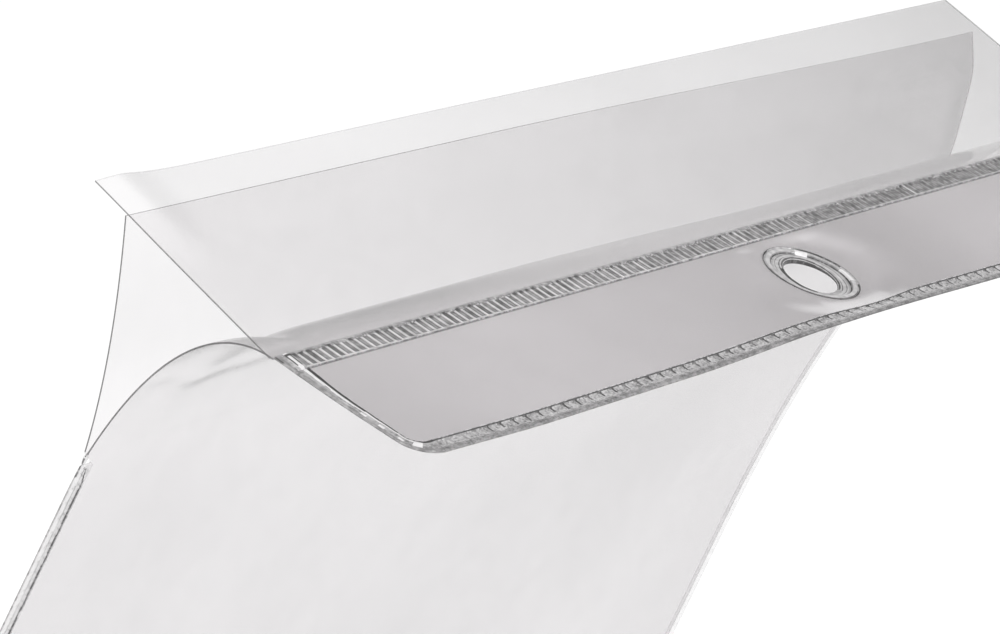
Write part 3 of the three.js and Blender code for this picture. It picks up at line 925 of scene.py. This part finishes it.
def end_relief(s, w):
    waver = 0.05 * noise.noise(Vector((s * 500, w * 4, 9)))
    height = 0.08 + 0.12 * smooth_step(0, 0.25, w) + 0.13 * smooth_step(0.5, 0.7, w) + waver
    below = 0.06 + 0.14 * smooth_step(0, 0.25, w)
    room = fold_slope * abs(s - hinge_width)
    return min(height * mm, room), -min(below * mm, room)


# Trapped bubbles painted as white glints, and a painted flash at the corner, in millimetres along.
bubble_painted_glints = (17.0, 20.6, 24.4)
corner_painted_flash = (26.6, 28.4)


def end_bead_painted_tone(s, w):
    """Soft streaks of painted light and shade run along the bead. A painted highlight line and a line of
    painted shade part it from the frosted sheet.
    """
    along = s / mm
    if along < 4.4 and w > 0.57:
        loop = 0.3 < along < 3.2 and (w < 0.64 or 0.84 < w < 0.93 or along < 0.75)
        return SHADE_LINE if loop else (PAINTED_GLINT if w < 0.8 else BAND)
    if along < 1.8 and 0.05 < w < 0.14:
        return SHADE_LINE
    # Where the inner border's painted shade begins across the bead.
    painted_shade_from = 0.75 + 0.1 * smooth_step(13, 23, along)
    painted_shade_from += 0.03 * noise.noise(Vector((along * 0.26, 8, 8)))
    if w > painted_shade_from:
        broken = 23 < along < 27.4 and chance(along * 0.6, 3) < 0.5
        return BAND if broken else SHADE_LINE
    if corner_painted_flash[0] < along < corner_painted_flash[1] and 0.3 < w < 0.85:
        return PAINTED_GLINT
    if w > painted_shade_from - 0.15:
        return PAINTED_GLINT if along < corner_painted_flash[1] else BAND
    if 0.3 < w < 0.6 and any(abs(along - bubble) < 0.6 for bubble in bubble_painted_glints):
        return PAINTED_GLINT
    streak = 0.55 * chance(along * 0.09, w * 8) + 0.45 * chance(along * 0.4, w * 7)
    if w < 0.3 or along > 27.4:
        return SHADE_SLOPE if streak < 0.6 else BAND
    return SHADE_SLOPE if streak < 0.36 else (BAND if streak < 0.6 else RIB_HIGHLIGHT)


fold_gap = 0.03 * mm
root = even(0, hinge_width - 0.4 * mm, 16)
root += even(hinge_width - 0.3 * mm, hinge_width - fold_gap, 4)
rest = even(hinge_width + fold_gap, end_straight, 160)
rest += even(end_straight, end_straight + end_arc, 40)[1:]
for label, side in (("left", 1), ("right", -1)):
    weld_piece(
        f"hinge_end_bead_{label}", end_path(side), root, end_shares, end_relief, end_bead_painted_tone,
        on_strip, "pocket", None,
    )
    weld_piece(
        f"strip_end_bead_{label}", end_path(side), rest, end_shares, end_relief, end_bead_painted_tone,
        strip_point, "strip", f"strip_end_weld_{label}",
    )

# %% [markdown]
# ## The eyelet
# A round electrode welds a ring and the hole is punched inside it. The ring is dished: from a fine
# outer line a low bead steps down to the land, and the hole's lip lies lowest. Seen from the side, the
# steps that face the viewer are painted as dark arcs of shade, and two painted highlights flash on the
# bead. The profile goes from the outside in: each row is a radius and a height in millimetres, and the
# painted tone of the face that follows.

# %% Build the eyelet ring
eyelet_profile = (
    (8.30, 0.20, SHADE_LINE), (8.14, 0.04, BAND), (7.85, 0.16, RIB_HIGHLIGHT), (7.45, 0.20, RIB_HIGHLIGHT),
    (7.12, 0.12, SHADE_SLOPE), (7.00, -0.06, SHADE_LINE), (6.82, -0.24, BAND), (6.50, -0.29, RIB_HIGHLIGHT),
    (6.30, -0.24, SHADE_SLOPE), (6.15, -0.32, RIB_HIGHLIGHT), (5.62, -0.34, SHADE_GROOVE), (5.45, -0.28, RIB_HIGHLIGHT),
    (5.20, -0.27, SHADE_GROOVE), (5.02, -0.30, SHADE_LINE), (4.90, -0.38, RIB_HIGHLIGHT), (4.80, -0.45, SHADE_LINE),
    (4.70, -0.53, SHADE_LINE),
)
inner_lip = 5.7
# Two painted highlights on the bead, as ranges of turn in degrees.
top_painted_flash = (223, 239)
side_painted_flash = (148, 174)
eyelet_stations = [(eyelet_profile[0][0] - r) * mm for r, _, _ in eyelet_profile]
eyelet_heights = [height for _, height, _ in eyelet_profile]


def eyelet_path(s):
    return (eyelet_outer * math.cos(s), eyelet_outer * math.sin(s)), (-math.cos(s), -math.sin(s))


def eyelet_relief(s, w):
    slant = 0.08 * math.sin(s) * (eyelet_outer - w) / mm * smooth_step(1 * mm, 3.3 * mm, w)
    height = float(np.interp(w, eyelet_stations, eyelet_heights)) - slant
    waver = 0.025 * noise.noise(Vector((math.cos(s) * 4, math.sin(s) * 4, w * 900)))
    below = 0.2 + 0.6 * smooth_step(0.5 * mm, 3.2 * mm, w)
    return (height + waver) * mm, -below * mm


def eyelet_painted_tone(s, w):
    """The profile's painted tone, but for the painted highlights and the arcs painted paler or darker by
    direction.
    """
    ring = sum(1 for station in eyelet_stations if station <= w) - 1
    radius, _, tone = eyelet_profile[ring]
    turn = math.degrees(s)
    if 6.4 < radius < 8.2 and top_painted_flash[0] < turn < top_painted_flash[1]:
        return PAINTED_GLINT
    if 7.05 < radius < 8.2 and side_painted_flash[0] < turn < side_painted_flash[1]:
        return PAINTED_GLINT
    # By direction, the outer line is painted paler and the inner arcs darker or paler.
    if radius > 8.2 and (243 < turn < 285 or 140 < turn < 180):
        return RIB_HIGHLIGHT if chance(turn * 0.05, 4) > 0.45 else BAND
    if radius == 8.14 and (turn < 120 or turn > 335):
        return SHADE_GROOVE
    if radius < inner_lip and (turn < 50 or turn > 325):
        return SHADE_LINE
    if radius < inner_lip and turn < 115:
        return BAND
    if tone == SHADE_LINE and chance(math.cos(s) * 5, math.sin(s) * 5 + ring) < 0.3:
        return SHADE_GROOVE
    return tone


weld_piece(
    "eyelet_weld_ring", eyelet_path, even(0, 2 * math.pi, 145)[:-1], eyelet_stations, eyelet_relief,
    eyelet_painted_tone, strip_point, "strip", "eyelet_ring", closed=True,
)

# %% [markdown]
# ## Side and bottom welds
# The two sheets are welded along both sides and across the bottom. The fused film is clearer than the
# two loose sheets, so the band looks pale between a fine outer edge and a wavy inner border, both
# painted as shade. On the right, where the pocket turns away, no shade is painted. The weld is thinnest
# where it meets the pinch.

# %% Build the side and bottom welds
bottom_width = 4 * mm
body_corner = 4 * mm
tick_pitch = 3.1 * mm
side_shares = (0, 0.05, 0.12, 0.25, 0.4, 0.55, 0.68, 0.74, 0.79, 0.84, 0.89, 1.0)


def side_path(side):
    def path(s):
        above = side_high.z - s - bottom_z
        inset = body_corner - math.sqrt(body_corner**2 - max(body_corner - above, 0) ** 2)
        return (side * (half_width - inset), side_high.z - s), (-side * side_width, 0)

    return path


def on_body(x, z, height):
    return Vector((x, middle_y + height + hang(x, z), z))


def seam_relief(s, share):
    height = 0.1 + 0.2 * smooth_step(0, 0.25, share) + 0.13 * smooth_step(0.75, 0.95, share)
    height *= 0.4 + 0.6 * smooth_step(0, 5 * mm, abs(s))
    return height * mm, -height * mm


def seam_painted_tone(s, share):
    """Painted shade: a fine outer edge and a wavy inner border, with a faint tick every few millimetres.
    """
    border = 0.76 + 0.07 * noise.noise(Vector((s * 330, 2, 2))) - 0.2 * smooth_step(4 * mm, 0, s)
    if share < 0.1 and s < 2.4 * mm:
        return SHADE_GROOVE if chance(s * 900, 6) > 0.4 else BAND
    if share < 0.05:
        return BAND if chance(s * 120, 6) > 0.35 else SHADE_SLOPE
    # The wavy inner border is painted shade.
    if border < share < border + 0.12 and s > 1 * mm:
        return SHADE_LINE if chance(s * 400, 3) > 0.45 else SHADE_GROOVE
    if phase(s + share * 1.5 * mm, 0, tick_pitch) < 0.06 and share > 0.5:
        return BAND
    return CLEAR


seam_places = even(0, side_high.z - bottom_z - 0.2 * mm, 900)
for label, side, finish in (("left", 1, seam_painted_tone), ("right", -1, lambda s, share: CLEAR)):
    weld_piece(
        f"side_seam_{label}", side_path(side), seam_places, side_shares, seam_relief, finish,
        on_body, "pocket", f"side_weld_{label}",
    )


def bottom_path(s):
    return (s, bottom_z), (0, bottom_width)


bottom_reach = half_width - side_width - 0.1 * mm
weld_piece(
    "bottom_seam", bottom_path, even(-bottom_reach, bottom_reach, 700), side_shares, seam_relief,
    seam_painted_tone, on_body, "pocket", "bottom_weld",
)

# %% [markdown]
# ## Tacks at the pinch
# Where each side weld ends at the mouth, a small lump of film was squeezed out. It is a clear knot
# about a millimetre wide with a broken crease on its outer side, painted dark as shade.


# %% Build the tacks
def tack(label, side):
    """A ball with an uneven radius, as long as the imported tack."""
    low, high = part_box(f"pinch_tack_{label}")
    half = Vector((0.35 * mm, 0.36 * mm, (high.z - low.z) * 0.48))
    inset = 0.42 * mm
    centre = Vector((side * (half_width - inset), middle_y, (low.z + high.z) / 2))
    rows, columns = 14, 22
    points, faces, kind = [], [], []
    for i in range(rows + 1):
        for j in range(columns):
            polar, turn = math.pi * i / rows, 2 * math.pi * j / columns
            flat = math.sin(polar)
            direction = Vector((flat * math.cos(turn), flat * math.sin(turn), math.cos(polar)))
            lump = 1 + 0.35 * noise.noise(direction * 2.6 + Vector((0, 0, side * 4)))
            points.append(centre + Vector([direction[k] * half[k] * lump for k in range(3)]))
            if i < rows:
                n = (j + 1) % columns
                above, below = i * columns, (i + 1) * columns
                faces.append((above + j, below + j, below + n, above + n))
                # A broken line of painted shade on the tack's outer side.
                crease = side * math.cos(turn) > 0.9 and chance(i * 0.9, 2) > 0.45
                kind.append(SHADE_GROOVE if crease else CLEAR)
    piece = add_piece(f"tack_{label}", points, faces, weld_painted_tones, kind)
    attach(piece, "pocket")
    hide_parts(f"pinch_tack_{label}")


tack("left", 1)
tack("right", -1)

# %% [markdown]
# ## Floor and light
# The photograph shows white everywhere behind the pocket, while the film mirrors a dim room above and
# a pale table below. So the floor and the surround are white to the camera, and grey by direction to
# the mirror: the table is bright near the pocket and fades away from it, and the room is dark but for
# a soft glow overhead and pale walls to the front and back. One soft lamp and the surround light
# what isn't clear.


# %% Helper for what the camera sees
def seen_directly(tree, path):
    return maths(tree, "MAXIMUM", path.outputs["Is Camera Ray"], path.outputs["Is Transmission Ray"])


# %% Build the floor
def make_floor():
    """White as seen, matt to other light, and to the mirror a table that fades with distance. Before
    the pocket it fades another way, with a window's edge in it."""
    material, tree = new_material("pale floor")
    path = add_node(tree, "ShaderNodeLightPath")
    shade = add_node(tree, "ShaderNodeBsdfDiffuse", {"Color": (0.2, 0.2, 0.2, 1)}).outputs[0]
    white = add_node(tree, "ShaderNodeEmission", {"Color": (1, 1, 1, 1), "Strength": 0.84}).outputs[0]
    seen = add_node(tree, "ShaderNodeAddShader", {0: shade, 1: white}).outputs[0]
    middle = object_place(tree)
    away = add_node(tree, "ShaderNodeVectorMath", {0: middle}, operation="LENGTH").outputs["Value"]
    x, y, _ = split(tree, middle)
    behind = ramp(tree, away, 0.7, 1.3, 0.66, 0.2)
    slant = maths(tree, "DIVIDE", y, x)
    window = ramp(tree, slant, 0.96, 0.8, 0.55, 1.0)
    before = ramp(tree, away, 0.38, 0.5, 0.66, 0.8)
    beyond = ramp(tree, away, 0.65, 0.9, 0.0, 1.0)
    before = mix_values(tree, beyond, before, window)
    to_the_front = ramp(tree, y, 0.0, -0.2, 0.0, 1.0)
    glow = mix_values(tree, to_the_front, behind, before)
    table = add_node(tree, "ShaderNodeEmission", {"Color": (1, 1, 1, 1), "Strength": glow}).outputs[0]
    matt = add_node(tree, "ShaderNodeBsdfDiffuse", {"Color": (0.85, 0.85, 0.85, 1)}).outputs[0]
    unmirrored = mix_shaders(tree, seen_directly(tree, path), matt, seen)
    output(tree, mix_shaders(tree, path.outputs["Is Glossy Ray"], unmirrored, table))
    return material


floor_z = bottom_z - 12 * mm
floor_half = 3.0
turns = ((-1, -1), (1, -1), (1, 1), (-1, 1))
corners = [(x * floor_half, y * floor_half, floor_z) for x, y in turns]
floor_mesh = bpy.data.meshes.new("floor")
floor_mesh.from_pydata(corners, [], [(0, 1, 2, 3)])
floor_mesh.materials.append(make_floor())
floor = new_object("floor", floor_mesh)
print("floor at", round(floor_z, 4))


# %% Light the scene
def make_world():
    """White as seen. To the mirror it is a room by direction: up and across_room go from -1 to 1."""
    world = bpy.data.worlds.new("studio")
    world.use_nodes = True
    tree = world.node_tree
    tree.nodes.clear()
    path = add_node(tree, "ShaderNodeLightPath")
    direction = add_node(tree, "ShaderNodeTexCoord").outputs["Generated"]
    _, across_room, up = split(tree, direction)
    skirting = ramp(tree, up, -0.25, 0.05, 0.54, 0.0)
    low_wall = ramp(tree, up, 0.0, 0.3, 0.1, 0.0)
    front_wall = ramp(tree, across_room, -0.4, -0.5, 0.0, 1.0)
    front_wall = maths(tree, "MULTIPLY", front_wall, ramp(tree, up, 0.08, 0.24, 0.85, 0.0))
    front_wall = maths(tree, "MULTIPLY", front_wall, ramp(tree, across_room, -0.62, -0.68, 1.0, 0.3))
    overhead = ramp(tree, up, 0.44, 0.62, 0.0, 0.8)
    wall = ramp(tree, across_room, 0.5, 0.74, 0.0, 0.1)
    room = skirting
    for part in (low_wall, front_wall, overhead, wall):
        room = maths(tree, "ADD", room, part)
    mirrored = maths(tree, "MULTIPLY", path.outputs["Is Glossy Ray"], room)
    soft = maths(tree, "MULTIPLY", path.outputs["Is Diffuse Ray"], 0.8)
    plain = maths(tree, "MAXIMUM", seen_directly(tree, path), soft)
    strength = maths(tree, "MAXIMUM", plain, mirrored)
    inputs = {"Color": (1, 1, 1, 1), "Strength": strength}
    sky = add_node(tree, "ShaderNodeBackground", inputs).outputs[0]
    add_node(tree, "ShaderNodeOutputWorld", {"Surface": sky})
    return world


def soft_lamp(name, place, size, power):
    data = bpy.data.lights.new(name, "AREA")
    data.size = size
    data.energy = power
    lamp = new_object(name, data)
    lamp.location = place
    lamp.rotation_euler = (-Vector(place)).to_track_quat("-Z", "Y").to_euler()
    print(name, "at", place)


scene.world = make_world()
soft_lamp("key lamp", place=(-0.5, 0.9, 1.5), size=0.6, power=12)
scene.cycles.transparent_max_bounces = 32
scene.cycles.max_bounces = 16
scene.view_settings.view_transform = "Standard"
